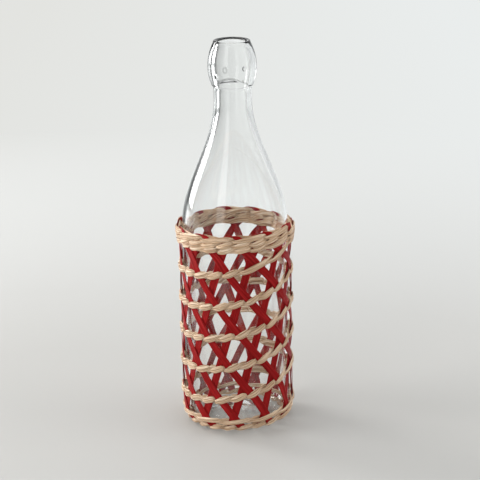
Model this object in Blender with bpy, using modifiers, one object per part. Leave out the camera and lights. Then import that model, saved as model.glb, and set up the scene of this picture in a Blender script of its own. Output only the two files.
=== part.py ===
"""A clear glass bottle in an open sleeve of twined straw, used as a vase.

Blender 4.5, in metres, +Z up. The bottle's axis is Z, its foot stands on Z = 0 and its front faces -Y.
A place on the sleeve is an angle from the front towards +X, a height, and a distance out from the
surface that the sleeve hugs.
"""

import math

import bmesh
import bpy

# Glass bottle
BODY_RADIUS = 0.042
BODY_HEIGHT = 0.163
SHOULDER_HEIGHT = 0.100
NECK_RADIUS = 0.0149
NECK_LENGTH = 0.012
FINISH_HEIGHT = 0.035
FINISH_BULGE_HEIGHT = 0.014
FINISH_RADIUS = 0.0192
FINISH_FOOT_RADIUS = 0.0162
LIP_RADIUS = 0.0146
LIP_HEIGHT = 0.0016
BORE_RADIUS = 0.0108
WALL = 0.0028
HEEL_RADIUS = 0.015
BASE_THICKNESS = 0.005
PUNT_RADIUS = 0.0235
PUNT_HEIGHT = 0.005
SOCKET_RADIUS = 0.0026
SOCKET_DEPTH = 0.0012
SOCKET_HEIGHT = 0.009
SOCKET_ANGLE = math.radians(-40)
GLASS_SIDES = 32

# Straw
STRIP_COUNT = 11
STRIP_WIDTH = 0.0054
STRIP_THICKNESS = 0.0005
FOLD_WIDTH = 0.0022
RIM_STRAND_WIDTH = 0.0040
RING_STRAND_WIDTH = 0.0050
FOOT_STRAND_WIDTH = 0.0044
STRAND_THICKNESS = 0.0008
STRAND_TWIST_WIDTH = 0.0017
STRAND_TWIST_THICKNESS = 0.0016
CLEARANCE = 0.0003
STRAND_TAPER = 0.4
STRAND_ROOM = 0.0015
STRAND_END_GAP = 0.0004

# Sleeve
RIM_ROWS = 3
RIM_PITCH = 0.0042
RIM_ABOVE_BODY = 0.0022
RIM_FLARE = 0.0014
RIM_FLARE_RISE = 0.012
OPEN_ROWS = 5
FOOT_ROWS = 2
FOOT_PITCH = 0.0060
FOOT_CLEARANCE = 0.0008
FOOT_BELOW_OPEN = 0.0077
HEEL_DRAW = 0.007
FOLD_ANGLE = math.radians(-3)
FOLD_HALF_ANGLE = math.radians(6.8)
FOLD_RISE = 0.0034
FIRST_CROSS_TURN = math.radians(19.5)
CROSS_BELOW_OPEN = 0.0073
LEG_CLOSING = 1.6
RIGHT_LEG_TURN = math.radians(22)
FLAT_STEP = math.radians(11)
SEAM_ANGLE = math.radians(75)
FALL_ANGLE = math.radians(130)
FALL_SHARE = 0.75
FALL_SKEW = 0.6
DROP_ANGLE = math.radians(80)
RETURN_ANGLE = math.radians(140)
RIM_EASE = 0.042
FOOT_EASE = 0.033

# Worked out from the sizes above
SHOULDER_TOP = BODY_HEIGHT + SHOULDER_HEIGHT
FINISH_FOOT = SHOULDER_TOP + NECK_LENGTH
TOTAL_HEIGHT = FINISH_FOOT + FINISH_HEIGHT
FLOOR_RADIUS = BODY_RADIUS - HEEL_RADIUS
STRIP_PITCH = 2 * math.pi / STRIP_COUNT
LEFT_LEG_TURN = STRIP_PITCH - RIGHT_LEG_TURN
RIM_TOP = BODY_HEIGHT + RIM_ABOVE_BODY
INNER_PASS = CLEARANCE + STRAND_THICKNESS / 2
LEFT_LEG_OFF = INNER_PASS + STRAND_THICKNESS / 2 + CLEARANCE + STRIP_THICKNESS / 2
RIGHT_LEG_OFF = LEFT_LEG_OFF + STRIP_THICKNESS + CLEARANCE
OUTER_PASS = RIGHT_LEG_OFF + STRIP_THICKNESS / 2 + CLEARANCE + STRAND_THICKNESS / 2
MIDDLE = (INNER_PASS + OUTER_PASS) / 2
SWING = (OUTER_PASS - INNER_PASS) / 2
FOOT_END = FOOT_CLEARANCE + FOOT_STRAND_WIDTH / 2
FOOT_TOP = FOOT_END + FOOT_ROWS * FOOT_PITCH
OPEN_TOP = RIM_TOP - RIM_ROWS * RIM_PITCH
OPEN_PITCH = (OPEN_TOP - FOOT_TOP - FOOT_BELOW_OPEN) / OPEN_ROWS
FIRST_CROSS = OPEN_TOP - CROSS_BELOW_OPEN


def smooth(share):
    """An S-shaped rise from 0 to 1."""
    share = min(1.0, max(0.0, share))
    return share * share * (3.0 - 2.0 * share)


def arc(radius, height, size, start, end, steps):
    """Points of a profile arc, its angles in degrees from +X."""
    angles = [math.radians(start + (end - start) * i / steps) for i in range(steps + 1)]
    return [(radius + size * math.cos(a), height + size * math.sin(a)) for a in angles]


def clear_collections():
    """Remove every object, and return new collections for the vase and for its cutters."""
    for item in list(bpy.data.objects):
        bpy.data.objects.remove(item, do_unlink=True)
    found = []
    for name in ("straw_wrapped_vase", "cutters"):
        group = bpy.data.collections.new(name)
        bpy.context.scene.collection.children.link(group)
        found.append(group)
    return found


def make_material(name, color, roughness, transmission=0.0):
    """A Principled material."""
    material = bpy.data.materials.new(name)
    material.use_nodes = True
    shader = material.node_tree.nodes["Principled BSDF"]
    shader.inputs["Base Color"].default_value = (*color, 1.0)
    shader.inputs["Roughness"].default_value = roughness
    shader.inputs["Metallic"].default_value = 0.0
    shader.inputs["Transmission Weight"].default_value = transmission
    return material


def outer_radius(height):
    """The glass's outer radius above its heel and below its finish."""
    share = smooth((height - BODY_HEIGHT) / SHOULDER_HEIGHT)
    return BODY_RADIUS + (NECK_RADIUS - BODY_RADIUS) * share


def bore_radius(height):
    """The glass's inner radius above its heel."""
    share = smooth((height - BODY_HEIGHT) / SHOULDER_HEIGHT)
    return BODY_RADIUS - WALL + (BORE_RADIUS - BODY_RADIUS + WALL) * share


def finish_radius(height):
    """The barrel-shaped finish, fattest a little below its middle."""
    rise = height - FINISH_FOOT - FINISH_BULGE_HEIGHT
    if rise < 0:
        return FINISH_RADIUS - (FINISH_RADIUS - FINISH_FOOT_RADIUS) * (rise / FINISH_BULGE_HEIGHT) ** 2
    reach = FINISH_HEIGHT - LIP_HEIGHT - FINISH_BULGE_HEIGHT
    return FINISH_RADIUS - (FINISH_RADIUS - LIP_RADIUS) * (rise / reach) ** 2


def spread(low, high, steps):
    """Heights from low to high, both ends kept."""
    return [low + (high - low) * i / steps for i in range(steps + 1)]


def glass_profile():
    """The inside from the floor's middle up to the lip, then the outside down to the punt's middle."""
    heel = arc(FLOOR_RADIUS, HEEL_RADIUS, HEEL_RADIUS - WALL, -62, 0, 3)
    edge_radius, edge_height = heel[0]
    crown = BASE_THICKNESS + PUNT_HEIGHT - edge_height
    floor = []
    for i in range(3):
        wave = (1 + math.cos(math.pi * i / 3)) / 2
        floor.append((edge_radius * i / 3, edge_height + crown * wave))
    inside = [(bore_radius(z), z) for z in spread(BODY_HEIGHT, SHOULDER_TOP, 8)]
    lip_base = TOTAL_HEIGHT - LIP_HEIGHT
    lip_middle = (BORE_RADIUS + LIP_RADIUS) / 2
    lip_half = (LIP_RADIUS - BORE_RADIUS) / 2
    lip = []
    for turn in (math.radians(a) for a in (0, 50, 90, 130)):
        lip.append((lip_middle - lip_half * math.cos(turn), lip_base + LIP_HEIGHT * math.sin(turn)))
    top = [(finish_radius(z), z) for z in spread(lip_base, FINISH_FOOT + FINISH_BULGE_HEIGHT, 4)]
    bottom = [(finish_radius(z), z) for z in spread(FINISH_FOOT + FINISH_BULGE_HEIGHT, FINISH_FOOT, 3)[1:]]
    tuck = (NECK_RADIUS, FINISH_FOOT - (FINISH_FOOT_RADIUS - NECK_RADIUS) / 2)
    outside = [(outer_radius(z), z) for z in spread(SHOULDER_TOP, BODY_HEIGHT, 10)]
    foot = arc(FLOOR_RADIUS, HEEL_RADIUS, HEEL_RADIUS, 0, -90, 5)
    punt = [(PUNT_RADIUS * (1 - i / 3), PUNT_HEIGHT * (1 - (1 - i / 3) ** 2)) for i in range(4)]
    return floor + heel + inside + lip + top + bottom + [tuck] + outside + foot + punt


def make_bottle(group, cutters, material):
    """The turned glass, with two blind sockets in its finish."""
    profile = glass_profile()
    mesh = bpy.data.meshes.new("glass_bottle")
    edges = [(i, i + 1) for i in range(len(profile) - 1)]
    mesh.from_pydata([(radius, 0.0, height) for radius, height in profile], edges, [])
    bottle = bpy.data.objects.new("glass_bottle", mesh)
    bottle.data.materials.append(material)
    group.objects.link(bottle)
    turn = bottle.modifiers.new("turn", "SCREW")
    turn.steps = GLASS_SIDES
    turn.render_steps = GLASS_SIDES
    turn.use_merge_vertices = True
    turn.merge_threshold = 0.00001
    turn.use_smooth_shade = True
    height = FINISH_FOOT + SOCKET_HEIGHT
    for name, angle in (("front", SOCKET_ANGLE), ("back", SOCKET_ANGLE + math.pi)):
        reach = finish_radius(height) + SOCKET_RADIUS - SOCKET_DEPTH
        place = (reach * math.sin(angle), -reach * math.cos(angle), height)
        bpy.ops.mesh.primitive_uv_sphere_add(segments=12, ring_count=8, radius=SOCKET_RADIUS, location=place)
        cutter = bpy.context.object
        cutter.name = "socket_cutter_" + name
        cutter.hide_render = True
        cutter.display_type = "WIRE"
        for old in list(cutter.users_collection):
            old.objects.unlink(cutter)
        cutters.objects.link(cutter)
        cut = bottle.modifiers.new("socket_" + name, "BOOLEAN")
        cut.operation = "DIFFERENCE"
        cut.object = cutter


def seat_radius(height):
    """The surface that the sleeve hugs: the body wall, drawn in at the heel and flared at the rim."""
    draw = max(0.0, 1.0 - height / HEEL_RADIUS)
    flare = smooth((height - (OPEN_TOP - RIM_FLARE_RISE / 2)) / RIM_FLARE_RISE)
    return BODY_RADIUS - HEEL_DRAW * draw ** 2 + RIM_FLARE * flare


def sleeve_point(angle, height, off):
    """A place on the sleeve as a point."""
    radius = seat_radius(height) + off
    return radius * math.sin(angle), -radius * math.cos(angle), height


def loft(name, sections, group, material):
    """One closed body through rings of four points, with flat ends."""
    build = bmesh.new()
    rings = [[build.verts.new(point) for point in section] for section in sections]
    for near, far in zip(rings, rings[1:]):
        for i in range(4):
            j = (i + 1) % 4
            build.faces.new((near[i], near[j], far[j], far[i]))
    build.faces.new(reversed(rings[0]))
    build.faces.new(rings[-1])
    bmesh.ops.recalc_face_normals(build, faces=build.faces)
    mesh = bpy.data.meshes.new(name)
    build.to_mesh(mesh)
    build.free()
    mesh.materials.append(material)
    group.objects.link(bpy.data.objects.new(name, mesh))


def leg_turns(height):
    """How far a strip's right-hand and left-hand legs lie from their fold at this height."""
    first_left = STRIP_PITCH - FIRST_CROSS_TURN
    if height < FIRST_CROSS:
        rows = (FIRST_CROSS - height) / OPEN_PITCH
        return FIRST_CROSS_TURN + RIGHT_LEG_TURN * rows, first_left + LEFT_LEG_TURN * rows
    rise = min(1.0, (height - FIRST_CROSS) / (RIM_TOP - FIRST_CROSS))
    close = (1.0 - rise) ** LEG_CLOSING
    right = FOLD_HALF_ANGLE + (FIRST_CROSS_TURN - FOLD_HALF_ANGLE) * close
    left = FOLD_HALF_ANGLE + (first_left - FOLD_HALF_ANGLE) * close
    return right, left


def leg_heights():
    """Heights along a leg, from the fold to the foot, closer together where the sleeve curves."""
    last_cross = FIRST_CROSS - OPEN_PITCH * OPEN_ROWS
    top = spread(RIM_TOP, FIRST_CROSS, 5)
    middle = spread(FIRST_CROSS, last_cross, 2 * OPEN_ROWS)
    return top + middle[1:] + spread(last_cross, FOOT_END, 5)[1:]


def lattice_lift(angle):
    """How far the crossings are raised here: on the front they keep their place above the rows."""
    turn = (SEAM_ANGLE - angle) % (2 * math.pi)
    back = smooth((turn - RETURN_ANGLE) / (2 * math.pi - RETURN_ANGLE))
    return OPEN_PITCH * (descent(SEAM_ANGLE) - descent(turn) + back)


def lift_share(height):
    """The share of that lift at this height of the even lattice: none at the rim and the foot."""
    return smooth((RIM_TOP - height) / RIM_EASE) * smooth((height - FOOT_END) / FOOT_EASE)


def even_height(angle, height):
    """The height in the even lattice that is lifted to this one."""
    lift = lattice_lift(angle)
    low, high = 0.0, TOTAL_HEIGHT
    while high - low > 1e-6:
        middle = (low + high) / 2
        if middle + lift * lift_share(middle) < height:
            low = middle
        else:
            high = middle
    return low


def leg_place(fold, side, height):
    """Angle and height of a strip's right-hand (0) or left-hand (1) leg, from its even height."""
    turn = leg_turns(height)[side]
    angle = fold + turn if side == 0 else fold - turn
    return angle, height + lattice_lift(angle) * lift_share(height)


def strip_path(fold):
    """A strip's middle line: up its left-hand leg, over the top row and down its right-hand leg."""
    drop = RIM_PITCH * descent((SEAM_ANGLE - fold) % (2 * math.pi))
    legs = []
    for side, off in ((1, LEFT_LEG_OFF), (0, RIGHT_LEG_OFF)):
        leg = []
        for even in leg_heights():
            angle, height = leg_place(fold, side, even)
            height -= drop * smooth((even - FIRST_CROSS) / (RIM_TOP - FIRST_CROSS))
            leg.append((angle, height, off, STRIP_WIDTH))
        legs.append(leg)
    arch = []
    steps = 8
    for i in range(1, steps):
        turn = math.pi * i / steps
        off = LEFT_LEG_OFF + (RIGHT_LEG_OFF - LEFT_LEG_OFF) * i / steps
        height = RIM_TOP - drop + FOLD_RISE * math.sin(turn)
        width = STRIP_WIDTH + (FOLD_WIDTH - STRIP_WIDTH) * math.sin(turn)
        arch.append((fold - FOLD_HALF_ANGLE * math.cos(turn), height, off, width))
    return legs[0][::-1] + arch + legs[1]


def strip_sections(path):
    """Flat sections square to the path, in the surface that the sleeve lies in."""
    sections = []
    for i, (angle, height, off, width) in enumerate(path):
        before = path[max(0, i - 1)]
        after = path[min(len(path) - 1, i + 1)]
        radius = seat_radius(height) + off
        along = (after[0] - before[0]) * radius
        rise = after[1] - before[1]
        length = math.hypot(along, rise)
        side = width / 2 * rise / length / radius
        lift = width / 2 * along / length
        half = STRIP_THICKNESS / 2
        corners = ((1, -half), (1, half), (-1, half), (-1, -half))
        sections.append([sleeve_point(angle + side * s, height - lift * s, off + o) for s, o in corners])
    return sections


def descent(turn):
    """How much of a row's drop is done after this turn from the seam: most of it on the front right."""
    fall = smooth((turn / FALL_ANGLE) ** FALL_SKEW)
    return FALL_SHARE * fall + (1 - FALL_SHARE) * turn / (2 * math.pi)


def weft_height(turned):
    """Height of the twined rows after this whole turn: the rim, the open spiral, then the foot."""
    row = min(int(turned / (2 * math.pi)), RIM_ROWS + OPEN_ROWS + FOOT_ROWS - 1)
    turn = turned - row * 2 * math.pi
    if row < RIM_ROWS:
        return RIM_TOP - RIM_PITCH * (row + descent(turn))
    row -= RIM_ROWS
    if row < OPEN_ROWS:
        height = OPEN_TOP - OPEN_PITCH * (row + descent(turn))
        if row == OPEN_ROWS - 1:
            height -= FOOT_BELOW_OPEN * smooth((turn - (2 * math.pi - DROP_ANGLE)) / DROP_ANGLE)
        return height
    return FOOT_TOP - FOOT_PITCH * (row - OPEN_ROWS + descent(turn))


def weft_lean(turned):
    """How steeply the row runs down here, as an angle."""
    step = math.radians(1)
    fall = weft_height(max(0.0, turned - step)) - weft_height(turned + step)
    return math.atan(fall / (2 * step * BODY_RADIUS))


def weft_width(turned):
    """Width of a strand where it lies flat: the rim's, then an open row's, then the foot's."""
    rim = smooth((turned - RIM_ROWS * 2 * math.pi) / FALL_ANGLE)
    foot = smooth((turned - (RIM_ROWS + OPEN_ROWS) * 2 * math.pi + DROP_ANGLE) / DROP_ANGLE)
    width = RIM_STRAND_WIDTH + (RING_STRAND_WIDTH - RIM_STRAND_WIDTH) * rim
    return width + (FOOT_STRAND_WIDTH - RING_STRAND_WIDTH) * foot


def leg_reach(fold, side, even, turned):
    """Half the turn of the weft that a leg takes up where the weft crosses it at this even height."""
    step = 0.001
    upper = leg_place(fold, side, even + step)
    lower = leg_place(fold, side, even - step)
    lean = math.atan(BODY_RADIUS * (lower[0] - upper[0]) / (upper[1] - lower[1]))
    row = weft_lean(turned)
    cross = row - lean
    half = STRIP_WIDTH / 2 + STRAND_TAPER * weft_width(turned) / 2 * abs(math.sin(cross))
    return half / math.cos(cross) * math.cos(row) / BODY_RADIUS


def strip_spans(rows_end):
    """Stretches of the weft's path that lie over or under a strip, in order: turned angles and strip."""
    step = math.radians(0.5)
    stations = [(i * step, SEAM_ANGLE - i * step) for i in range(math.ceil(rows_end / step))]
    evens = [even_height(angle, weft_height(turned)) for turned, angle in stations]
    spans = []
    for k in range(STRIP_COUNT):
        fold = FOLD_ANGLE + STRIP_PITCH * k
        for side in (0, 1):
            last = None
            for (turned, angle), even in zip(stations, evens):
                gap = math.remainder(angle - leg_place(fold, side, even)[0], 2 * math.pi)
                if last is not None and last > 0 >= gap and last - gap < 1:
                    middle = turned - step * gap / (gap - last)
                    reach = leg_reach(fold, side, even, middle)
                    spans.append((middle - reach, middle + reach, k))
                last = gap
    return sorted(spans)


def join_spans(spans):
    """A stitch of the top row runs from fold to fold; elsewhere only legs too close to pass between join."""
    joined = [list(spans[0])]
    for start, end, strip in spans[1:]:
        pair = strip != joined[-1][2] and start < 2 * math.pi
        if pair or start - joined[-1][1] < STRAND_ROOM / BODY_RADIUS:
            joined[-1][1] = max(joined[-1][1], end)
            joined[-1][2] = strip
        else:
            joined.append([start, end, strip])
    return [(start, end) for start, end, _ in joined]


def weft_keys(spans):
    """Where the strands lie flat and where they change sides: turned angle and quarter twists."""

    keys = []
    quarter = 0
    for (start, end), (after, _) in zip(spans, spans[1:]):
        parts = max(1, math.ceil((end - start) / FLAT_STEP))
        keys += [(start + (end - start) * i / parts, quarter) for i in range(parts + 1)]
        keys.append(((end + after) / 2, quarter + 1))
        quarter += 2
    return keys


def strand_section(turned, quarter, strand):
    """A lens-shaped section: flat over a strip, narrow and thick where the two strands change sides."""
    phase = math.pi / 2 * (2 * strand - quarter)
    flat = abs(math.cos(phase))
    broad = weft_width(turned)
    width = STRAND_TWIST_WIDTH + (broad - STRAND_TWIST_WIDTH) * flat
    thickness = STRAND_TWIST_THICKNESS + (STRAND_THICKNESS - STRAND_TWIST_THICKNESS) * flat
    drift = (broad - STRAND_TWIST_WIDTH) / 2 * math.sin(phase)
    height = weft_height(turned)
    off = MIDDLE + SWING * math.cos(phase)
    lean = weft_lean(turned)
    section = []
    for h, o in ((0, -1), (1, 0), (0, 1), (-1, 0)):
        up = drift + width / 2 * h
        angle = SEAM_ANGLE - turned - up * math.sin(lean) / BODY_RADIUS
        section.append(sleeve_point(angle, height + up * math.cos(lean), off + thickness / 2 * o))
    return section


def make_wefts(group, material):
    """The twined rows, cut into lengths at the seam, each of two strands."""
    rows = RIM_ROWS + OPEN_ROWS + FOOT_ROWS
    keys = weft_keys(join_spans(strip_spans(rows * 2 * math.pi + STRIP_PITCH)))
    names = ["rim_weft"] + ["ring_%d_weft" % (i + 1) for i in range(OPEN_ROWS)] + ["foot_weft"]
    ends = [0.0] + [(RIM_ROWS + i) * 2 * math.pi for i in range(OPEN_ROWS + 1)] + [rows * 2 * math.pi]
    twists = [key for key in keys if key[1] % 2]
    cuts = [min(twists, key=lambda key: abs(key[0] - end)) for end in ends]
    trim = STRAND_END_GAP / 2 / BODY_RADIUS
    for name, start, end in zip(names, cuts, cuts[1:]):
        inside = [key for key in keys if start[0] < key[0] < end[0]]
        length = [(start[0] + trim, start[1])] + inside + [(end[0] - trim, end[1])]
        for strand, letter in enumerate("ab"):
            loft(name + "_" + letter, [strand_section(*key, strand) for key in length], group, material)


def make_strips(group, material):
    """The folded strips."""
    for k in range(STRIP_COUNT):
        path = strip_path(FOLD_ANGLE + STRIP_PITCH * k)
        loft("red_strip_%02d" % (k + 1), strip_sections(path), group, material)


def main():
    """Build the vase."""
    group, cutters = clear_collections()
    glass = make_material("clear_glass", (0.93, 0.96, 0.95), 0.02, 1.0)
    red = make_material("red_straw", (0.30, 0.012, 0.018), 0.55)
    natural = make_material("natural_straw", (0.60, 0.45, 0.30), 0.6)
    make_bottle(group, cutters, glass)
    make_strips(group, red)
    make_wefts(group, natural)


main()
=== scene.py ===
"""Looks of a clear glass bottle in an open sleeve of twined straw, used as a vase.

Blender 4.5, in metres, +Z up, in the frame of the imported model. A place on the sleeve is an angle from
the front (-Y) towards +X, a height, and a distance out from the surface that the sleeve hugs. A place on
the twined rows is how far they have turned since they began at the seam, row after row. The strips are laid
out on an even lattice, whose heights are then lifted to follow the rows.
"""

import math

import bmesh
import bpy
from mathutils import Matrix, Vector, noise


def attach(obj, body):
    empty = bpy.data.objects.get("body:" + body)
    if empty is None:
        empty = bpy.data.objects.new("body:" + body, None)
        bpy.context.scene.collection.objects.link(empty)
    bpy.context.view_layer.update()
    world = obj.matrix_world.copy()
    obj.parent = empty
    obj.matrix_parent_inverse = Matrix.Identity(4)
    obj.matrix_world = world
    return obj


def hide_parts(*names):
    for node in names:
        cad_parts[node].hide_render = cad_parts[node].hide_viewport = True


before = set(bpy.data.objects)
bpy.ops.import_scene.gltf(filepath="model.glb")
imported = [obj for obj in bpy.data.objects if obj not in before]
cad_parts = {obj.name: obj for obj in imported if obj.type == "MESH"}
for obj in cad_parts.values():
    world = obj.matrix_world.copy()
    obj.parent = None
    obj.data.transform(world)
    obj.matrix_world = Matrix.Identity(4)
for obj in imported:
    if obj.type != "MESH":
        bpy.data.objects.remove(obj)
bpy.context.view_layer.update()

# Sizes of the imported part
BODY_RADIUS = 0.042
BODY_HEIGHT = 0.163
SHOULDER_HEIGHT = 0.100
NECK_RADIUS = 0.0149
NECK_LENGTH = 0.012
FINISH_HEIGHT = 0.035
FINISH_BULGE_HEIGHT = 0.014
FINISH_RADIUS = 0.0192
FINISH_FOOT_RADIUS = 0.0162
LIP_RADIUS = 0.0146
LIP_HEIGHT = 0.0016
BORE_RADIUS = 0.0108
WALL = 0.0028
HEEL_RADIUS = 0.015
BASE_THICKNESS = 0.005
PUNT_RADIUS = 0.0235
PUNT_HEIGHT = 0.005
SOCKET_RADIUS = 0.0026
SOCKET_DEPTH = 0.0012
SOCKET_HEIGHT = 0.009
SOCKET_ANGLE = math.radians(-40)
STRIP_COUNT = 11
STRIP_WIDTH = 0.0054
STRIP_THICKNESS = 0.0005
FOLD_WIDTH = 0.0022
RIM_STRAND_WIDTH = 0.0040
RING_STRAND_WIDTH = 0.0050
FOOT_STRAND_WIDTH = 0.0044
STRAND_THICKNESS = 0.0008
STRAND_TAPER = 0.4
STRAND_ROOM = 0.0015
STRAND_END_GAP = 0.0004
CLEARANCE = 0.0003
RIM_ROWS = 3
RIM_PITCH = 0.0042
RIM_ABOVE_BODY = 0.0022
RIM_FLARE = 0.0014
RIM_FLARE_RISE = 0.012
OPEN_ROWS = 5
FOOT_ROWS = 2
FOOT_PITCH = 0.0060
FOOT_CLEARANCE = 0.0008
FOOT_BELOW_OPEN = 0.0077
HEEL_DRAW = 0.007
FOLD_ANGLE = math.radians(-3)
FOLD_HALF_ANGLE = math.radians(6.8)
FOLD_RISE = 0.0034
FIRST_CROSS_TURN = math.radians(19.5)
CROSS_BELOW_OPEN = 0.0073
LEG_CLOSING = 1.6
RIGHT_LEG_TURN = math.radians(22)
SEAM_ANGLE = math.radians(75)
FALL_ANGLE = math.radians(130)
FALL_SHARE = 0.75
FALL_SKEW = 0.6
DROP_ANGLE = math.radians(80)
RETURN_ANGLE = math.radians(140)
RIM_EASE = 0.042
FOOT_EASE = 0.033

# Worked out from the sizes above, as in the part
SHOULDER_TOP = BODY_HEIGHT + SHOULDER_HEIGHT
FINISH_FOOT = SHOULDER_TOP + NECK_LENGTH
TOTAL_HEIGHT = FINISH_FOOT + FINISH_HEIGHT
FLOOR_RADIUS = BODY_RADIUS - HEEL_RADIUS
STRIP_PITCH = 2 * math.pi / STRIP_COUNT
LEFT_LEG_TURN = STRIP_PITCH - RIGHT_LEG_TURN
RIM_TOP = BODY_HEIGHT + RIM_ABOVE_BODY
INNER_PASS = CLEARANCE + STRAND_THICKNESS / 2
LEFT_LEG_OFF = INNER_PASS + STRAND_THICKNESS / 2 + CLEARANCE + STRIP_THICKNESS / 2
RIGHT_LEG_OFF = LEFT_LEG_OFF + STRIP_THICKNESS + CLEARANCE
OUTER_PASS = RIGHT_LEG_OFF + STRIP_THICKNESS / 2 + CLEARANCE + STRAND_THICKNESS / 2
MIDDLE = (INNER_PASS + OUTER_PASS) / 2
SWING = (OUTER_PASS - INNER_PASS) / 2
FOOT_END = FOOT_CLEARANCE + FOOT_STRAND_WIDTH / 2
FOOT_TOP = FOOT_END + FOOT_ROWS * FOOT_PITCH
OPEN_TOP = RIM_TOP - RIM_ROWS * RIM_PITCH
OPEN_PITCH = (OPEN_TOP - FOOT_TOP - FOOT_BELOW_OPEN) / OPEN_ROWS
FIRST_CROSS = OPEN_TOP - CROSS_BELOW_OPEN
LEG_OFFS = (RIGHT_LEG_OFF, LEFT_LEG_OFF)

# Steps of the search for where strips and rows cross
HEIGHT_TOLERANCE = 1e-6
LEAN_STEP = 0.001
LEAN_TURN = math.radians(1)
SEARCH_STEP = math.radians(0.5)

# Rings and sides of the glass
GLASS_SIDES = 240
FLOOR_RINGS = 12
HEEL_RINGS = 12
WALL_RINGS = 22
INNER_SHOULDER_RINGS = 28
OUTER_SHOULDER_RINGS = 30
THROAT_RINGS = 44
LIP_RINGS = 14
FINISH_TOP_RINGS = 44
FINISH_BOTTOM_RINGS = 40
TUCK_RINGS = 5
PUNT_RINGS = 10
ON_AXIS = 1e-6

# Detail of the glass that only the looks have
INNER_HEEL_DEGREES = -62
LIP_EDGE = 0.0009
BORE_SWELL = 0.0034
BORE_SWELL_FOOT = 0.004
BORE_SWELL_POWER = 1.3
WALL_WAVE = 0.00022
WALL_WAVE_LENGTH = 0.021
WALL_WAVE_RISE = 0.6
MARK_ANGLE = math.radians(-17.5)
MARK_HEIGHT = 0.0148
MARK_WIDTH = 0.0014
MARK_LENGTH = 0.0019
MARK_DEPTH = 0.00018
MARK_EDGE = 0.45
# How much the oval ridge and the seam darken the glass: painted shade, standing in for the dark lines that
# their bending of light shows
MARK_PAINTED_SHADE = 0.45
ARCH_ANGLE = math.radians(-6)
ARCH_HALF_ANGLE = math.radians(31)
ARCH_FOOT = 0.0045
ARCH_RISE = 0.0038
ARCH_WIDTH = 0.0006
ARCH_DEPTH = 0.0001
ARCH_REACH = 1.15
ARCH_FADE = 0.3
ARCH_PAINTED_SHADE = 0.65
# A spot at the seam's end that only painted shade shows
ARCH_END_ANGLE = math.radians(26.5)
ARCH_END_HEIGHT = 0.0056
ARCH_END_WIDTH = 0.0012

# Detail of the red strips
STRIP_STEP = 0.0022
STRIP_FACETS = 8
STRIP_FULLNESS = 1.15
STRIP_EDGE = 0.0003
STRIP_EDGE_POWER = 4
STRIP_CREASE = 0.0004
STRIP_CREASE_DEPTH = 0.7
STRIP_END_WIDTH = 0.0024
STRIP_END_TAPER = 0.0028
FOLD_STEPS = 16
FOLD_PRESS = 0.0010

# Detail of the natural strands
STRAND_STEP = math.radians(1.6)
STRAND_FACETS = 14
STRAND_FULLNESS = 1.16
FOOT_FULLNESS = 0.86
STRAND_STRETCH = 0.5
STRAND_SLANT = 0.0011
STRAND_EDGE = 0.00012
STRAND_EDGE_POWER = 3.0
STRAND_PLEAT = 0.00030
PLEAT_TURN = 7.0
TWIST_WIDTH = 0.0022
TWIST_THICKNESS = 0.0012
BLUNT_SHARE = 0.12
FINE_SHARE = 0.5
FINE_POWER = 0.6

# How uneven the straw is: the reach of each noise, how fast it changes, and its place in the noise
STRIP_WANDER = 0.0005
STRIP_WANDER_PACE = 45
STRIP_WANDER_SEED = 3.1
STRIP_WANDER_LANES = (0.5, 8.0)
STRIP_SWELL = 0.08
STRIP_SWELL_PACE = 0.05
STRIP_SWELL_SEED = 5.7
STRIP_SWELL_LANE = 2.5
CREASE_WANDER = 0.25
CREASE_WANDER_PACE = 0.04
CREASE_WANDER_SEED = 2.3
CREASE_WANDER_LANE = 9.5
STITCH_SEED = 1.7
STRAND_SEED = 4.3
STRAND_SWELL = 0.13
STRAND_SWELL_SPOT = (1.5, 0.5)
PLEAT_WANDER = 3.0
PLEAT_WANDER_PACE = 1.5
PLEAT_WANDER_LANE = 3.5

# Looks of the glass
GLASS_COLOR = (0.99, 0.993, 0.988)
# The glass's dark tint on its mould marks is painted shade
MARK_PAINTED_SHADE_COLOR = (0.05, 0.055, 0.045)
SHADOW_COLOR = (0.975, 0.977, 0.973)
GLASS_IOR = 1.5

# Looks of the straw: scales of the grain, per metre across it and along it
STREAK_GRAIN = (1500.0, 28.0)
PATCH_GRAIN = (160.0, 60.0)
RIDGE_GRAIN = (1900.0, 30.0)
SHEEN_GRAIN = (2000.0, 80.0)
FINE_DETAIL = 4.0
PATCH_DETAIL = 2.0
GRAIN_ROUGHNESS = 0.6
RIDGE_HEIGHT = 0.0007
SHEEN_BELOW = 0.08
SHEEN_ABOVE = 0.12

# Camera
CAMERA_PLACE = Vector((0.0038, -1.3, 0.5444))
CAMERA_PITCH = math.radians(16.92)
CAMERA_ROLL = math.radians(0.98)
FOCAL_PIXELS = 1705.0
FRAME_PIXELS = 480
SENSOR_WIDTH = 36.0

# Floor: the place where its painted shade is deepest, and the ranges of distance from there over which it
# changes
FLOOR_REACH = 9.0
FLOOR_SIDES = 96
FLOOR_ROUGHNESS = 0.55
FLOOR_SHADE_PLACE = (-0.12, -0.17, 0.0)
# The floor's colour nearest that place, darkened as painted shade
PAINTED_SHADE_FLOOR = (0.512, 0.505, 0.482)
PALE_FLOOR = (0.83, 0.84, 0.83)
PALE_RANGE = (0.33, 1.6)
UNLIT_RANGE = (0.5, 1.2)
BENT_RANGE = (0.45, 0.9)
MIRRORED_RANGE = (0.15, 0.35)
BACKDROP_HALF_WIDTH = 0.4
# The backdrop is darker and warmer on the left; its darkening there is painted shade of the wall
BACKDROP_SHADED_LEFT = (0.77, 0.775, 0.75)
BACKDROP_RIGHT = (0.82, 0.845, 0.84)
FLOOR_TINT = (0.985, 1.01, 1.0)

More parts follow.
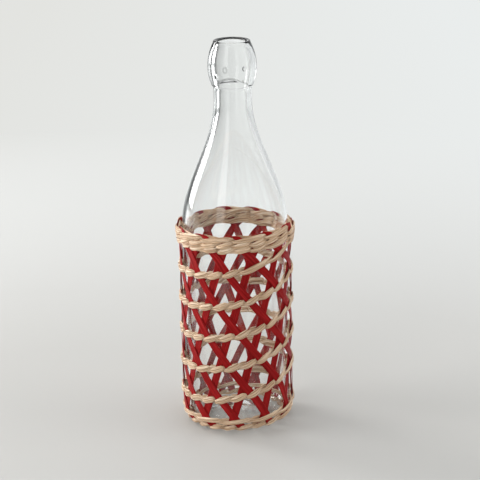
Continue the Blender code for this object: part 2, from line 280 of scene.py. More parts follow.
# Room: its greys by direction, in degrees to the right of straight behind the vase
ROOM_COLOR = (0.79, 0.805, 0.81)
ROOM_TINT = (0.985, 1.0, 1.01)
LIT_ROOM = [(-180, 0.42), (-100, 0.9), (-60, 0.9), (60, 0.95), (115, 0.95), (180, 0.42)]
MIRRORED_ROOM = [
    (-180, 0.08), (-110, 0.5), (-42, 0.8), (-38, 0.30), (-25, 0.35), (-16, 0.62), (-4, 0.76),
    (60, 0.82), (68, 0.25), (105, 0.2), (125, 0.12), (180, 0.08),
]
BENT_ROOM = [
    (-180, 0.8), (-42, 0.8), (-38, 0.30), (-25, 0.35), (-16, 0.62), (-4, 0.76), (60, 0.82), (180, 0.8),
]
MIRRORED_FLOOR = [
    (-180, 0.07), (-160, 0.07), (-154, 0.85), (-138, 0.85), (-132, 0.2), (-90, 0.5), (-42, 0.8),
    (-38, 0.03), (-25, 0.10), (-18, 0.50), (-6, 0.68), (4, 0.76), (60, 0.82), (68, 0.08), (105, 0.08),
    (125, 0.08), (180, 0.07),
]
BENT_FLOOR = [
    (-180, 0.8), (-42, 0.8), (-38, 0.03), (-25, 0.10), (-18, 0.55), (-6, 0.78), (4, 0.86), (60, 0.89),
    (110, 0.8), (180, 0.8),
]


def smooth(share):
    """An S-shaped rise from 0 to 1."""
    share = min(1.0, max(0.0, share))
    return share * share * (3.0 - 2.0 * share)


def blend(start, end, share):
    """The value that lies this share of the way from start to end."""
    return start + (end - start) * share


def wander(*place):
    """A smooth value from -1 to 1 that belongs to this place in the noise."""
    return noise.noise(Vector(place))


def spread(low, high, steps):
    """Values from low to high, both ends kept."""
    return [low + (high - low) * i / steps for i in range(steps + 1)]


def arc(radius, height, size, start, end, steps):
    """Points of a profile arc, its angles in degrees from +X."""
    angles = [math.radians(angle) for angle in spread(start, end, steps)]
    return [(radius + size * math.cos(a), height + size * math.sin(a)) for a in angles]


def profile_part(radius_at, low, high, steps):
    """Points of a profile whose radius follows from its height."""
    return [(radius_at(height), height) for height in spread(low, high, steps)]


class Nodes:
    """The nodes of a material or a world, made and joined in short calls."""

    def __init__(self, owner, kind):
        self.owner = owner
        owner.use_nodes = True
        self.tree = owner.node_tree
        self.tree.nodes.clear()
        self.output = self.add("Output" + kind)

    def add(self, kind, inputs=None, **settings):
        """A node with these settings; an input is a value, or a socket to join to it."""
        node = self.tree.nodes.new("ShaderNode" + kind)
        for key, value in settings.items():
            setattr(node, key, value)
        for key, value in (inputs or {}).items():
            if isinstance(value, bpy.types.NodeSocket):
                self.tree.links.new(value, node.inputs[key])
            else:
                node.inputs[key].default_value = value
        return node

    def math(self, operation, first, second):
        """What the operation makes of two values."""
        return self.add("Math", {0: first, 1: second}, operation=operation).outputs[0]

    def share(self, value, low, high):
        """How far the value is on its way from low to high, from 0 to 1."""
        return self.add("MapRange", {"Value": value, "From Min": low, "From Max": high}).outputs[0]

    def mix(self, factor, first, second, blend_type="MIX"):
        """Two colours mixed."""
        colors = {0: factor, 6: first, 7: second}
        return self.add("Mix", colors, data_type="RGBA", blend_type=blend_type).outputs[2]

    def mix_shaders(self, factor, first, second):
        """Two shaders mixed."""
        return self.add("MixShader", {0: factor, 1: first, 2: second}).outputs[0]

    def ramp(self, factor, stops):
        """A colour ramp over factor, from (place, colour) stops."""
        node = self.add("ValToRGB", {"Fac": factor})
        elements = node.color_ramp.elements
        while len(elements) < len(stops):
            elements.new(0.5)
        for element, (place, color) in zip(elements, stops):
            element.position = place
            element.color = (*color, 1.0)
        return node.outputs["Color"]

    def finish(self, shader):
        """Join the shader to the output and return the material or world."""
        self.tree.links.new(shader, self.output.inputs["Surface"])
        return self.owner


def glass_material():
    """Clear glass that lets lamps through, so that the straw behind it is lit; along its mould marks it is
    tinted dark with painted shade.
    """
    n = Nodes(bpy.data.materials.new("clear_glass_look"), "Material")
    painted_mark_shade = n.add("Attribute", attribute_name="painted_mark_shade").outputs["Fac"]
    # Painted shade of the mould marks tints the glass dark
    tint = n.ramp(painted_mark_shade, [(0.0, GLASS_COLOR), (1.0, MARK_PAINTED_SHADE_COLOR)])
    looks = {"Base Color": tint, "Roughness": 0.0, "IOR": GLASS_IOR, "Transmission Weight": 1.0}
    glass = n.add("BsdfPrincipled", looks).outputs[0]
    clear = n.add("BsdfTransparent", {"Color": (*SHADOW_COLOR, 1.0)}).outputs[0]
    shadow = n.add("LightPath").outputs["Is Shadow Ray"]
    return n.finish(n.mix_shaders(shadow, glass, clear))


def fibre(n, across, along, detail=FINE_DETAIL):
    """Noise drawn out along a strip: across and along are its scales per metre."""
    uv = n.add("UVMap", uv_map="UVMap")
    stretch = n.add("Mapping", {"Vector": uv.outputs["UV"], "Scale": (across, along, 1.0)})
    settings = {"Vector": stretch.outputs[0], "Scale": 1.0, "Detail": detail, "Roughness": GRAIN_ROUGHNESS}
    return n.add("TexNoise", settings).outputs["Fac"]


def straw_material(name, streaks, patches, roughness, gloss, ridges):
    """Dyed or natural straw: streaks along the fibre, slow patches of darker colour, a soft sheen."""
    n = Nodes(bpy.data.materials.new(name), "Material")
    streak = n.ramp(fibre(n, *STREAK_GRAIN), streaks)
    patch = n.ramp(fibre(n, *PATCH_GRAIN, PATCH_DETAIL), patches)
    color = n.mix(1.0, streak, patch, "MULTIPLY")
    ridge = {"Height": fibre(n, *RIDGE_GRAIN), "Strength": ridges, "Distance": RIDGE_HEIGHT}
    sheen = {
        "Value": fibre(n, *SHEEN_GRAIN),
        "To Min": roughness - SHEEN_BELOW,
        "To Max": roughness + SHEEN_ABOVE,
    }
    looks = {
        "Base Color": color,
        "Roughness": n.add("MapRange", sheen).outputs[0],
        "Normal": n.add("Bump", ridge).outputs[0],
        "Specular IOR Level": gloss,
    }
    return n.finish(n.add("BsdfPrincipled", looks).outputs[0])


def add_piece(name, build, material, nodes):
    """A smooth piece from a built mesh, which rides on the body and stands for these nodes."""
    mesh = bpy.data.meshes.new(name)
    build.to_mesh(mesh)
    build.free()
    mesh.shade_smooth()
    mesh.materials.append(material)
    piece = bpy.data.objects.new(name, mesh)
    bpy.context.scene.collection.objects.link(piece)
    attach(piece, "root")
    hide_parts(*nodes)
    return piece


def outer_radius(height):
    """The glass's outer radius above its heel and below its finish."""
    return blend(BODY_RADIUS, NECK_RADIUS, smooth((height - BODY_HEIGHT) / SHOULDER_HEIGHT))


def bore_radius(height):
    """The glass's inner radius above its heel."""
    return blend(BODY_RADIUS - WALL, BORE_RADIUS, smooth((height - BODY_HEIGHT) / SHOULDER_HEIGHT))


def throat_radius(height):
    """The bore above the shoulder: it swells inside the finish and draws in again at the lip."""
    start = FINISH_FOOT - BORE_SWELL_FOOT
    share = (height - start) / (TOTAL_HEIGHT - LIP_HEIGHT - start)
    swell = math.sin(math.pi * min(1.0, max(0.0, share)))
    return BORE_RADIUS + BORE_SWELL * swell ** BORE_SWELL_POWER


def finish_radius(height):
    """The barrel-shaped finish, fattest a little below its middle."""
    rise = height - FINISH_FOOT - FINISH_BULGE_HEIGHT
    if rise < 0:
        return FINISH_RADIUS - (FINISH_RADIUS - FINISH_FOOT_RADIUS) * (rise / FINISH_BULGE_HEIGHT) ** 2
    reach = FINISH_HEIGHT - LIP_HEIGHT - FINISH_BULGE_HEIGHT
    return FINISH_RADIUS - (FINISH_RADIUS - LIP_RADIUS) * (rise / reach) ** 2


def glass_profiles():
    """The inside from the floor's middle up to the lip, and the outside down to the punt's middle."""
    heel = arc(FLOOR_RADIUS, HEEL_RADIUS, HEEL_RADIUS - WALL, INNER_HEEL_DEGREES, 0, HEEL_RINGS)
    edge_radius, edge_height = heel[0]
    crown = BASE_THICKNESS + PUNT_HEIGHT - edge_height
    floor = []
    for share in spread(0.0, 1.0, FLOOR_RINGS)[:-1]:
        floor.append((edge_radius * share, edge_height + crown * (1 + math.cos(math.pi * share)) / 2))
    wall = profile_part(bore_radius, HEEL_RADIUS, BODY_HEIGHT, WALL_RINGS)[1:-1]
    neck = profile_part(bore_radius, BODY_HEIGHT, SHOULDER_TOP, INNER_SHOULDER_RINGS)
    lip_base = TOTAL_HEIGHT - LIP_HEIGHT
    throat = profile_part(throat_radius, SHOULDER_TOP, lip_base, THROAT_RINGS)[1:]
    crest = LIP_RADIUS - LIP_EDGE
    inner_lip, outer_lip = [], []
    for turn in spread(0.0, math.pi, LIP_RINGS)[1:-1]:
        inner = turn < math.pi / 2
        half = crest - BORE_RADIUS if inner else LIP_EDGE
        point = (crest - half * math.cos(turn), lip_base + LIP_HEIGHT * math.sin(turn))
        (inner_lip if inner else outer_lip).append(point)
    bulge = FINISH_FOOT + FINISH_BULGE_HEIGHT
    top = profile_part(finish_radius, lip_base, bulge, FINISH_TOP_RINGS)
    bottom = profile_part(finish_radius, bulge, FINISH_FOOT, FINISH_BOTTOM_RINGS)[1:]
    step = FINISH_FOOT_RADIUS - NECK_RADIUS
    tuck = arc(FINISH_FOOT_RADIUS, FINISH_FOOT - step, step, 90, 180, TUCK_RINGS)[1:]
    shoulder = profile_part(outer_radius, SHOULDER_TOP, BODY_HEIGHT, OUTER_SHOULDER_RINGS)
    body = profile_part(outer_radius, BODY_HEIGHT, HEEL_RADIUS, WALL_RINGS)[1:-1]
    foot = arc(FLOOR_RADIUS, HEEL_RADIUS, HEEL_RADIUS, 0, -90, HEEL_RINGS)
    punt = [(PUNT_RADIUS * (1 - s), PUNT_HEIGHT * (1 - (1 - s) ** 2)) for s in spread(0.0, 1.0, PUNT_RINGS)]
    inside = floor + heel + wall + neck + throat + inner_lip
    outside = outer_lip + top + bottom + tuck + shoulder + body + foot + punt
    return inside, outside


def socket_cut(angle, height, radius):
    """How deep the two ball-shaped sockets cut into the finish at this place on its surface."""
    depth = 0.0
    for middle in (SOCKET_ANGLE, SOCKET_ANGLE + math.pi):
        side = radius * math.remainder(angle - middle, 2 * math.pi)
        away = math.hypot(side, height - FINISH_FOOT - SOCKET_HEIGHT)
        if away < SOCKET_RADIUS:
            ball = math.sqrt(SOCKET_RADIUS ** 2 - away ** 2)
            depth = max(0.0, ball - (SOCKET_RADIUS - SOCKET_DEPTH))
    return depth


def mould_marks(angle, height, radius):
    """The small oval ridge and the arched seam in the mouth's surface: how far out they stand, and how much
    painted shade darkens the glass on them and on a spot at the seam's end.
    """
    if height < FINISH_FOOT:
        return 0.0, 0.0
    across = radius * math.remainder(angle - MARK_ANGLE, 2 * math.pi) / MARK_WIDTH
    away = math.hypot(across, (height - FINISH_FOOT - MARK_HEIGHT) / MARK_LENGTH)
    ridge = math.exp(-((away - 1.0) / MARK_EDGE) ** 2)
    turn = math.remainder(angle - ARCH_ANGLE, 2 * math.pi) / ARCH_HALF_ANGLE
    crown = FINISH_FOOT + ARCH_FOOT + ARCH_RISE * (1.0 - turn * turn)
    fade = smooth((ARCH_REACH - abs(turn)) / ARCH_FADE)
    seam = math.exp(-((height - crown) / ARCH_WIDTH) ** 2) * fade
    end_side = radius * math.remainder(angle - ARCH_END_ANGLE, 2 * math.pi)
    end_away = math.hypot(end_side, height - FINISH_FOOT - ARCH_END_HEIGHT)
    end = math.exp(-((end_away / ARCH_END_WIDTH) ** 2))
    return MARK_DEPTH * ridge - ARCH_DEPTH * seam, MARK_PAINTED_SHADE * ridge + ARCH_PAINTED_SHADE * max(seam, end)


def wall_wave(angle, height, radius):
    """How far out the uneven inside lies here; it fades at the floor's middle and at the lip."""
    fade = min(1.0, radius / FLOOR_RADIUS, max(0.0, (TOTAL_HEIGHT - height) / FINISH_HEIGHT))
    near = Vector((math.sin(angle), -math.cos(angle), 0.0)) * radius
    near.z = height * WALL_WAVE_RISE
    return WALL_WAVE * fade * noise.noise(near / WALL_WAVE_LENGTH)


def make_glass(material):
    """The turned bottle: smooth outside, gently uneven inside, as blown glass is."""
    inside, outside = glass_profiles()
    profile = [(r, z, True) for r, z in inside] + [(r, z, False) for r, z in outside]
    build = bmesh.new()
    painted_mark_shade = build.verts.layers.float.new("painted_mark_shade")
    rings = []
    for radius, height, inner in profile:
        if radius < ON_AXIS:
            rings.append([build.verts.new((0.0, 0.0, height))])
            continue
        ring = []
        for i in range(GLASS_SIDES):
            angle = 2 * math.pi * i / GLASS_SIDES
            if inner:
                shift, shade = wall_wave(angle, height, radius), 0.0
            else:
                shift, shade = mould_marks(angle, height, radius)
                shift -= socket_cut(angle, height, radius)
            reach = radius + shift
            vert = build.verts.new((reach * math.sin(angle), -reach * math.cos(angle), height))
            # Painted shade of the mould marks, kept for the glass's tint
            vert[painted_mark_shade] = shade
            ring.append(vert)
        rings.append(ring)
    for low, high in zip(rings, rings[1:]):
        for i in range(GLASS_SIDES):
            j = (i + 1) % GLASS_SIDES
            corners = [low[i % len(low)], low[j % len(low)], high[j % len(high)], high[i % len(high)]]
            build.faces.new(list(dict.fromkeys(corners)))
    bmesh.ops.recalc_face_normals(build, faces=build.faces)
    return add_piece("glass_bottle_clear", build, material, ["glass_bottle"])


def seat_radius(height):
    """The surface that the sleeve hugs: the body wall, drawn in at the heel and flared at the rim."""
    draw = max(0.0, 1.0 - height / HEEL_RADIUS)
    flare = smooth((height - (OPEN_TOP - RIM_FLARE_RISE / 2)) / RIM_FLARE_RISE)
    return BODY_RADIUS - HEEL_DRAW * draw ** 2 + RIM_FLARE * flare


def sleeve_point(angle, height, off):
    """A place on the sleeve as a point."""
    radius = seat_radius(height) + off
    return Vector((radius * math.sin(angle), -radius * math.cos(angle), height))


def path_frames(path):
    """For each place: its point, the directions across the strip and out from it, and the length so far."""
    points = [sleeve_point(*place[:3]) for place in path]
    along = 0.0
    for i, (place, point) in enumerate(zip(path, points)):
        before, after = points[max(0, i - 1)], points[min(len(points) - 1, i + 1)]
        if i:
            along += (point - before).length
        ahead = (after - before).normalized()
        out = Vector((math.sin(place[0]), -math.cos(place[0]), 0.0))
        side = ahead.cross(out).normalized()
        yield point, side, side.cross(ahead), along


def girths(section):
    """How far round the section each of its points lies."""
    lengths = [0.0]
    for (across, lift), (next_across, next_lift) in zip(section, section[1:]):
        lengths.append(lengths[-1] + math.hypot(next_across - across, next_lift - lift))
    return lengths


def loft(name, path, sections, material, node):
    """One closed body round a path whose places start with an angle, a height and a distance out.

    A section's points lie across the strip and out from it. The texture runs across and along the
    strip, in metres.
    """
    build = bmesh.new()
    layer = build.loops.layers.uv.new("UVMap")
    rings, rows = [], []
    for section, (point, side, out, along) in zip(sections, path_frames(path)):
        rings.append([build.verts.new(point + side * across + out * lift) for across, lift in section])
        rows.append([(girth, along) for girth in girths(section)])
    count = len(rings[0])
    for near, far, low, high in zip(rings, rings[1:], rows, rows[1:]):
        for i in range(count):
            j = (i + 1) % count
            face = build.faces.new((near[i], near[j], far[j], far[i]))
            wrap = 0.0 if j else low[-1][0] + abs(low[1][0])
            corners = (low[i], low[j], high[j], high[i])
            for loop, (u, v), extra in zip(face.loops, corners, (0.0, wrap, wrap, 0.0)):
                loop[layer].uv = (u + extra, v)
    build.faces.new(reversed(rings[0]))
    build.faces.new(rings[-1])
    bmesh.ops.recalc_face_normals(build, faces=build.faces)
    return add_piece(name, build, material, [node])


def leg_turns(height):
    """How far a strip's right-hand and left-hand legs lie from their fold at this height."""
    first_left = STRIP_PITCH - FIRST_CROSS_TURN
    if height < FIRST_CROSS:
        rows = (FIRST_CROSS - height) / OPEN_PITCH
        return FIRST_CROSS_TURN + RIGHT_LEG_TURN * rows, first_left + LEFT_LEG_TURN * rows
    rise = min(1.0, (height - FIRST_CROSS) / (RIM_TOP - FIRST_CROSS))
    close = (1.0 - rise) ** LEG_CLOSING
    return blend(FOLD_HALF_ANGLE, FIRST_CROSS_TURN, close), blend(FOLD_HALF_ANGLE, first_left, close)


def descent(turn):
    """How much of a row's drop is done after this turn from the seam: most of it on the front right."""
    fall = smooth((turn / FALL_ANGLE) ** FALL_SKEW)
    return FALL_SHARE * fall + (1 - FALL_SHARE) * turn / (2 * math.pi)


def lattice_lift(angle):
    """How far the crossings are raised here: on the front they keep their place above the rows."""
    turn = (SEAM_ANGLE - angle) % (2 * math.pi)
    back = smooth((turn - RETURN_ANGLE) / (2 * math.pi - RETURN_ANGLE))
    return OPEN_PITCH * (descent(SEAM_ANGLE) - descent(turn) + back)


def lift_share(height):
    """The share of that lift at this height of the even lattice: none at the rim and the foot."""
    return smooth((RIM_TOP - height) / RIM_EASE) * smooth((height - FOOT_END) / FOOT_EASE)


def even_height(angle, height):
    """The height in the even lattice that is lifted to this one, found by halving the range."""
    lift = lattice_lift(angle)
    low, high = 0.0, TOTAL_HEIGHT
    while high - low > HEIGHT_TOLERANCE:
        middle = (low + high) / 2
        if middle + lift * lift_share(middle) < height:
            low = middle
        else:
            high = middle
    return low


def leg_place(fold, side, height):
    """Angle and height of a strip's right-hand (0) or left-hand (1) leg, from its even height."""
    turn = leg_turns(height)[side]
    angle = fold + turn if side == 0 else fold - turn
    return angle, height + lattice_lift(angle) * lift_share(height)


def strip_leg(number, side, fold, drop):
    """The middle line of a strip's right-hand (0) or left-hand (1) leg, from the rim to the foot."""
    leg = []
    for even in spread(RIM_TOP, FOOT_END, round((RIM_TOP - FOOT_END) / STRIP_STEP)):
        angle, height = leg_place(fold, side, even)
        sway = wander(number * STRIP_WANDER_SEED, even * STRIP_WANDER_PACE, STRIP_WANDER_LANES[side])
        angle += STRIP_WANDER / BODY_RADIUS * sway
        height -= drop * smooth((even - FIRST_CROSS) / (RIM_TOP - FIRST_CROSS))
        full = smooth((even - FOOT_END) / STRIP_END_TAPER)
        leg.append((angle, height, LEG_OFFS[side], blend(STRIP_END_WIDTH, STRIP_WIDTH, full)))
    return leg


def strip_path(number):
    """A strip's middle line: up its left-hand leg, over the top row and down its right-hand leg.

    Each place is an angle, a height, a distance out and a width.
    """
    fold = FOLD_ANGLE + STRIP_PITCH * number
    drop = RIM_PITCH * descent((SEAM_ANGLE - fold) % (2 * math.pi))
    right, left = [strip_leg(number, side, fold, drop) for side in (0, 1)]
    arch = []
    for share in spread(0.0, 1.0, FOLD_STEPS)[1:-1]:
        turn = math.pi * share
        angle = fold - FOLD_HALF_ANGLE * math.cos(turn)
        height = RIM_TOP - drop + (FOLD_RISE - FOLD_PRESS) * math.sin(turn)
        off = blend(LEFT_LEG_OFF, RIGHT_LEG_OFF, share)
        arch.append((angle, height, off, blend(STRIP_WIDTH, FOLD_WIDTH, math.sin(turn))))
    return left[::-1] + arch + right


def strip_section(number, i, width):
    """A flat leaf with thin edges and a crease that wanders about its middle."""
    swell = wander(number * STRIP_SWELL_SEED, i * STRIP_SWELL_PACE, STRIP_SWELL_LANE)
    half = STRIP_FULLNESS * width / 2 * (1.0 + STRIP_SWELL * swell)
    sway = wander(number * CREASE_WANDER_SEED, i * CREASE_WANDER_PACE, CREASE_WANDER_LANE)
    crease = CREASE_WANDER * half * sway
    thick = STRIP_THICKNESS / 2
    top, bottom = [], []
    for share in spread(-1.0, 1.0, STRIP_FACETS):
        across = share * half
        edge = thick * (1.0 - (1.0 - STRIP_EDGE / STRIP_THICKNESS) * abs(share) ** STRIP_EDGE_POWER)
        dip = math.exp(-((across - crease) / STRIP_CREASE) ** 2)
        top.append((across, edge - STRIP_CREASE_DEPTH * thick * dip))
        bottom.append((across, -edge))
    return top + bottom[::-1]


def make_strips(material):
    """The folded red strips."""
    for number in range(STRIP_COUNT):
        path = strip_path(number)
        sections = [strip_section(number, i, place[3]) for i, place in enumerate(path)]
        name = "red_strip_%02d" % (number + 1)
        loft(name + "_leaf", path, sections, material, name)


def weft_height(turned):
    """Height of the twined rows after this whole turn: the rim, the open spiral, then the foot."""
    row = min(int(turned / (2 * math.pi)), RIM_ROWS + OPEN_ROWS + FOOT_ROWS - 1)
    turn = turned - row * 2 * math.pi
    if row < RIM_ROWS:
        return RIM_TOP - RIM_PITCH * (row + descent(turn))
    row -= RIM_ROWS
    if row < OPEN_ROWS:
        height = OPEN_TOP - OPEN_PITCH * (row + descent(turn))
        if row == OPEN_ROWS - 1:
            height -= FOOT_BELOW_OPEN * smooth((turn - (2 * math.pi - DROP_ANGLE)) / DROP_ANGLE)
        return height
    return FOOT_TOP - FOOT_PITCH * (row - OPEN_ROWS + descent(turn))


def weft_lean(turned):
    """How steeply the row runs down here, as an angle."""
    fall = weft_height(max(0.0, turned - LEAN_TURN)) - weft_height(turned + LEAN_TURN)
    return math.atan(fall / (2 * LEAN_TURN * BODY_RADIUS))


def foot_share(turned):
    """How far the weft has changed from an open row to a foot row."""
    return smooth((turned - (RIM_ROWS + OPEN_ROWS) * 2 * math.pi + DROP_ANGLE) / DROP_ANGLE)


def weft_width(turned):
    """Width of a strand where it lies flat: the rim's, then an open row's, then the foot's."""
    rim = smooth((turned - RIM_ROWS * 2 * math.pi) / FALL_ANGLE)
    width = blend(RIM_STRAND_WIDTH, RING_STRAND_WIDTH, rim)
    return width + (FOOT_STRAND_WIDTH - RING_STRAND_WIDTH) * foot_share(turned)


def leg_reach(fold, side, even, turned):
    """Half the turn of the weft that a leg takes up where the weft crosses it at this even height."""
    upper = leg_place(fold, side, even + LEAN_STEP)
    lower = leg_place(fold, side, even - LEAN_STEP)
    lean = math.atan(BODY_RADIUS * (lower[0] - upper[0]) / (upper[1] - lower[1]))
    row = weft_lean(turned)
    cross = row - lean
    half = STRIP_WIDTH / 2 + STRAND_TAPER * weft_width(turned) / 2 * abs(math.sin(cross))
    return half / math.cos(cross) * math.cos(row) / BODY_RADIUS


def strip_spans(rows_end):
    """Stretches of the weft's path that lie over or under a strip, in order: turned angles and strip."""
    turns = [i * SEARCH_STEP for i in range(math.ceil(rows_end / SEARCH_STEP))]
    stations = [(turned, SEAM_ANGLE - turned) for turned in turns]
    evens = [even_height(angle, weft_height(turned)) for turned, angle in stations]
    spans = []
    for number in range(STRIP_COUNT):
        fold = FOLD_ANGLE + STRIP_PITCH * number
        for side in (0, 1):
            last = None
            for (turned, angle), even in zip(stations, evens):
                gap = math.remainder(angle - leg_place(fold, side, even)[0], 2 * math.pi)
                # A fall by more than a radian is the jump from half a turn to minus half a turn.
                if last is not None and last > 0 >= gap and last - gap < 1:
                    middle = turned - SEARCH_STEP * gap / (gap - last)
                    reach = leg_reach(fold, side, even, middle)
                    spans.append((middle - reach, middle + reach, number))
                last = gap
    return sorted(spans)


def join_spans(spans):
    """The stretches that a stitch passes in one.

    In the top row a stitch runs from fold to fold. Elsewhere it passes two legs in one only where they
    lie too close together for a strand to change sides between them.
    """
    joined = [list(spans[0])]
    for start, end, strip in spans[1:]:
        pair = strip != joined[-1][2] and start < 2 * math.pi
        if pair or start - joined[-1][1] < STRAND_ROOM / BODY_RADIUS:
            joined[-1][1] = max(joined[-1][1], end)
            joined[-1][2] = strip
        else:
            joined.append([start, end, strip])
    return [(start, end) for start, end, _ in joined]


def gap_middles(spans):
    """The middles of the gaps between the stretches."""
    return [(before[1] + after[0]) / 2 for before, after in zip(spans, spans[1:])]


def strand_place(turned, swing, outside, share, seed):
    """Where a strand lies and what shape it has after this turn and this share of its stitch.

    A strand is broad soon after its blunt end and then narrows slowly to its fine end.
    """
    lean = weft_lean(turned)
    from_blunt = share if outside > 0 else 1.0 - share
    full = smooth(from_blunt / BLUNT_SHARE) * smooth((1.0 - from_blunt) / FINE_SHARE) ** FINE_POWER
    broad = weft_width(turned) * blend(STRAND_FULLNESS, FOOT_FULLNESS, foot_share(turned))
    swell = 1.0 + STRAND_SWELL * wander(seed, *STRAND_SWELL_SPOT)
    broad *= swell * (1.0 - STRAND_STRETCH * math.sin(lean))
    width = blend(TWIST_WIDTH, broad, full)
    thick = blend(TWIST_THICKNESS, STRAND_THICKNESS, full)
    drift = outside * STRAND_SLANT * math.cos(math.pi * share)
    angle = SEAM_ANGLE - turned - drift * math.sin(lean) / BODY_RADIUS
    height = weft_height(turned) + drift * math.cos(lean)
    return angle, height, MIDDLE + SWING * swing, width, thick, seed, share


def weft_places(spans, start, end, strand):
    """A strand's places from start to end of the path, each with the shape that it has there.

    A stitch runs between the middles of two gaps. Over it the strand lies outside or inside the
    strips, and it changes sides in the gaps.
    """
    middles = gap_middles(spans)
    places = []
    stitch = 0
    for turned in spread(start, end, math.ceil((end - start) / STRAND_STEP)):
        while stitch < len(middles) - 2 and turned > middles[stitch + 1]:
            stitch += 1
        low, high = middles[stitch], middles[stitch + 1]
        share = min(1.0, max(0.0, (turned - low) / (high - low)))
        flat_from, flat_to = spans[stitch + 1]
        rise = smooth((turned - low) / (flat_from - low)) if turned < flat_from else 1.0
        fall = smooth((high - turned) / (high - flat_to)) if turned > flat_to else 1.0
        outside = 1 if (stitch + strand) % 2 == 0 else -1
        seed = stitch * STITCH_SEED + strand * STRAND_SEED
        places.append(strand_place(turned, outside * min(rise, fall), outside, share, seed))
    return places


def strand_section(width, thick, seed, share):
    """A folded leaf: lens-shaped, with pleats along it that wander from stitch to stitch."""
    sway = PLEAT_WANDER * wander(seed, share * PLEAT_WANDER_PACE, PLEAT_WANDER_LANE)
    top, bottom = [], []
    for x in spread(-1.0, 1.0, STRAND_FACETS):
        crown = thick / 2 * (1.0 - abs(x) ** STRAND_EDGE_POWER) + STRAND_EDGE
        pleat = STRAND_PLEAT * math.sin(PLEAT_TURN * x + sway + seed) * (1.0 - x * x)
        top.append((x * width / 2, crown + pleat))
        bottom.append((x * width / 2, -crown))
    return top + bottom[::-1]


def make_wefts(material):
    """The twined rows, cut into lengths at the seam, each of two strands."""
    rows = RIM_ROWS + OPEN_ROWS + FOOT_ROWS
    spans = join_spans(strip_spans(rows * 2 * math.pi + STRIP_PITCH))
    names = ["rim_weft"] + ["ring_%d_weft" % (i + 1) for i in range(OPEN_ROWS)] + ["foot_weft"]
    ends = [0] + [RIM_ROWS + i for i in range(OPEN_ROWS + 1)] + [rows]
    middles = gap_middles(spans)
    cuts = [min(middles, key=lambda middle: abs(middle - end * 2 * math.pi)) for end in ends]
    trim = STRAND_END_GAP / 2 / BODY_RADIUS
    for name, start, end in zip(names, cuts, cuts[1:]):
        for strand, letter in enumerate("ab"):
            places = weft_places(spans, start + trim, end - trim, strand)
            sections = [strand_section(*place[3:]) for place in places]
            node = name + "_" + letter
            loft(node + "_leaf", places, sections, material, node)


def compass(n, place):
    """The direction of a place from the vase, from 0 to 1 round the back and 0.5 straight behind it."""
    parts = n.add("SeparateXYZ", {0: place}).outputs
    return n.share(n.math("ARCTAN2", parts["X"], parts["Y"]), -math.pi, math.pi)


def greys_around(n, turn, greys, tint):
    """Slightly tinted greys by direction, in degrees to the right of straight behind the vase."""
    stops = []
    for degrees, grey in greys:
        stops.append(((degrees + 180.0) / 360.0, [grey * part for part in tint]))
    return n.ramp(turn, stops)


def ray_kinds(n):
    """Sockets that are 1 for the camera's rays, for any from the glass, for passed and mirrored ones."""
    path = n.add("LightPath").outputs
    passed = path["Is Transmission Ray"]
    by_glass = n.math("MAXIMUM", path["Is Glossy Ray"], passed)
    mirrored = n.math("MINIMUM", path["Glossy Depth"], 1.0)
    return path["Is Camera Ray"], by_glass, passed, mirrored


def floor_material():
    """Lit near the vase and darkened there by painted shade; far off it is shown unlit, and rays from the
    glass meet other greys there.
    """
    n = Nodes(bpy.data.materials.new("floor_look"), "Material")
    camera, by_glass, passed, mirrored = ray_kinds(n)
    place = n.add("TexCoord").outputs["Object"]
    apart = n.add("VectorMath", {0: place, 1: FLOOR_SHADE_PLACE}, operation="DISTANCE").outputs["Value"]
    # Painted shade: the floor's colour is darker towards a place at the vase's front left
    color = n.ramp(n.share(apart, *PALE_RANGE), [(0.0, PAINTED_SHADE_FLOOR), (1.0, PALE_FLOOR)])
    turn = compass(n, place)
    bent = greys_around(n, turn, BENT_FLOOR, FLOOR_TINT)
    in_glass = n.mix(mirrored, bent, greys_around(n, turn, MIRRORED_FLOOR, FLOOR_TINT))
    far_shares = {0: mirrored, 2: n.share(apart, *BENT_RANGE), 3: n.share(apart, *MIRRORED_RANGE)}
    far = n.add("Mix", far_shares).outputs[0]
    color = n.mix(n.math("MULTIPLY", by_glass, far), color, in_glass)
    lit = n.add("BsdfPrincipled", {"Base Color": color, "Roughness": FLOOR_ROUGHNESS}).outputs[0]
    sideways = n.add("SeparateXYZ", {0: place}).outputs["X"]
    across = n.share(sideways, -BACKDROP_HALF_WIDTH, BACKDROP_HALF_WIDTH)
    # The backdrop darkens towards the left as painted shade
    backdrop = n.ramp(across, [(0.0, BACKDROP_SHADED_LEFT), (1.0, BACKDROP_RIGHT)])
    plain = n.add("Emission", {"Color": n.mix(camera, color, backdrop), "Strength": 1.0}).outputs[0]
    straight = n.math("MAXIMUM", camera, n.math("SUBTRACT", passed, mirrored))
    unlit = n.math("MULTIPLY", straight, n.share(apart, *UNLIT_RANGE))
    return n.finish(n.mix_shaders(unlit, lit, plain))


def make_stage():
    """One round pale floor, which reaches far enough to be the background too."""
    build = bmesh.new()
    bmesh.ops.create_circle(build, cap_ends=True, segments=FLOOR_SIDES, radius=FLOOR_REACH)
    mesh = bpy.data.meshes.new("floor")
    build.to_mesh(mesh)
    build.free()
    mesh.materials.append(floor_material())
    floor = bpy.data.objects.new("floor", mesh)
    bpy.context.scene.collection.objects.link(floor)


def make_world():
    """A plain pale room for the camera; its darker places show in what the glass mirrors and bends."""
    n = Nodes(bpy.data.worlds.new("room"), "World")
    camera, by_glass, _, mirrored = ray_kinds(n)
    turn = compass(n, n.add("TexCoord").outputs["Generated"])
    lit, bent, mirror = [
        n.add("Background", {"Color": greys_around(n, turn, greys, ROOM_TINT)}).outputs[0]
        for greys in (LIT_ROOM, BENT_ROOM, MIRRORED_ROOM)
    ]
    plain = n.add("Background", {"Color": (*ROOM_COLOR, 1.0)}).outputs[0]
    room = n.mix_shaders(by_glass, lit, n.mix_shaders(mirrored, bent, mirror))
    bpy.context.scene.world = n.finish(n.mix_shaders(camera, room, plain))


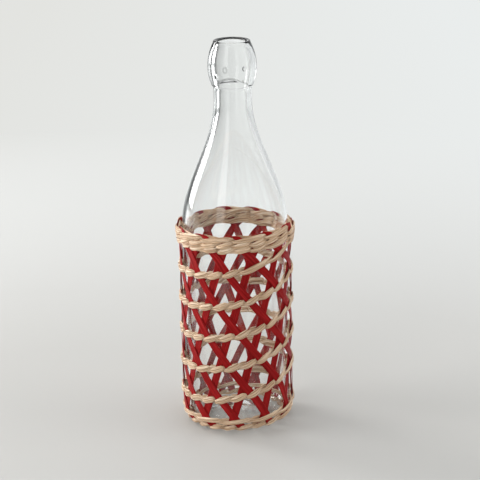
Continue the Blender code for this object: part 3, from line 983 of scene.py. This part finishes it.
def make_camera():
    """The photograph's view."""
    data = bpy.data.cameras.new("camera")
    data.sensor_width = SENSOR_WIDTH
    data.lens = FOCAL_PIXELS / FRAME_PIXELS * SENSOR_WIDTH
    camera = bpy.data.objects.new("camera", data)
    tilt = Matrix.Rotation(math.pi / 2 - CAMERA_PITCH, 4, "X")
    roll = Matrix.Rotation(-CAMERA_ROLL, 4, "Z")
    camera.matrix_world = Matrix.Translation(CAMERA_PLACE) @ tilt @ roll
    bpy.context.scene.collection.objects.link(camera)
    bpy.context.scene.camera = camera


def make_lamp(name, place, aim, size, power, mirrored=False, spread_angle=math.pi):
    """A soft rectangular lamp, which the glass may or may not show."""
    data = bpy.data.lights.new(name, "AREA")
    data.shape = "RECTANGLE"
    data.size, data.size_y = size
    data.energy = power
    data.spread = spread_angle
    lamp = bpy.data.objects.new(name, data)
    lamp.visible_glossy = mirrored
    lamp.visible_transmission = mirrored
    lamp.location = place
    lamp.rotation_mode = "QUATERNION"
    lamp.rotation_quaternion = (Vector(aim) - Vector(place)).to_track_quat("-Z", "Y")
    bpy.context.scene.collection.objects.link(lamp)


def make_lamps():
    """A window behind at the left, soft lamps at the left, right and front, and weak ones for the straw."""
    aim = (0.0, 0.0, 0.15)
    make_lamp("window", (-1.30, 0.95, 0.80), aim, size=(0.55, 1.5), power=16.0, mirrored=True)
    make_lamp("soft_left", (-1.9, -0.1, 0.9), aim, size=(0.9, 0.9), power=15.0)
    make_lamp("soft_right", (2.1, -0.2, 1.1), aim, size=(1.2, 1.2), power=10.5)
    make_lamp("soft_stripe", (-1.18, -1.82, 1.2), aim, size=(0.8, 2.3), power=7.5, mirrored=True)
    beam = {"size": (0.25, 0.25), "power": 0.06, "spread_angle": math.radians(24)}
    make_lamp("left_beam", (-0.9, -0.2, 0.19), (0.0, 0.0, 0.165), **beam)
    inside = (0.0, 0.0, 0.075)
    for name, facing in (("inner_back", 1.0), ("inner_front", -1.0)):
        make_lamp(name, inside, (0.0, facing, inside[2]), size=(0.012, 0.12), power=0.026)


make_camera()
make_world()
make_stage()
make_lamps()
make_glass(glass_material())
make_strips(
    straw_material(
        "red_straw_look",
        streaks=[
            (0.32, (0.16, 0.002, 0.002)),
            (0.50, (0.31, 0.0045, 0.005)),
            (0.68, (0.465, 0.021, 0.022)),
        ],
        patches=[(0.35, (0.80, 0.80, 0.80)), (0.65, (1.0, 1.0, 1.0))],
        roughness=0.44,
        gloss=0.12,
        ridges=0.5,
    )
)
make_wefts(
    straw_material(
        "natural_straw_look",
        streaks=[
            (0.37, (0.32, 0.16, 0.08)),
            (0.49, (0.675, 0.445, 0.265)),
            (0.61, (0.95, 0.78, 0.60)),
        ],
        patches=[(0.35, (0.82, 0.80, 0.78)), (0.65, (1.0, 1.0, 1.0))],
        roughness=0.44,
        gloss=0.6,
        ridges=0.8,
    )
)
bpy.context.scene.view_settings.view_transform = "Standard"
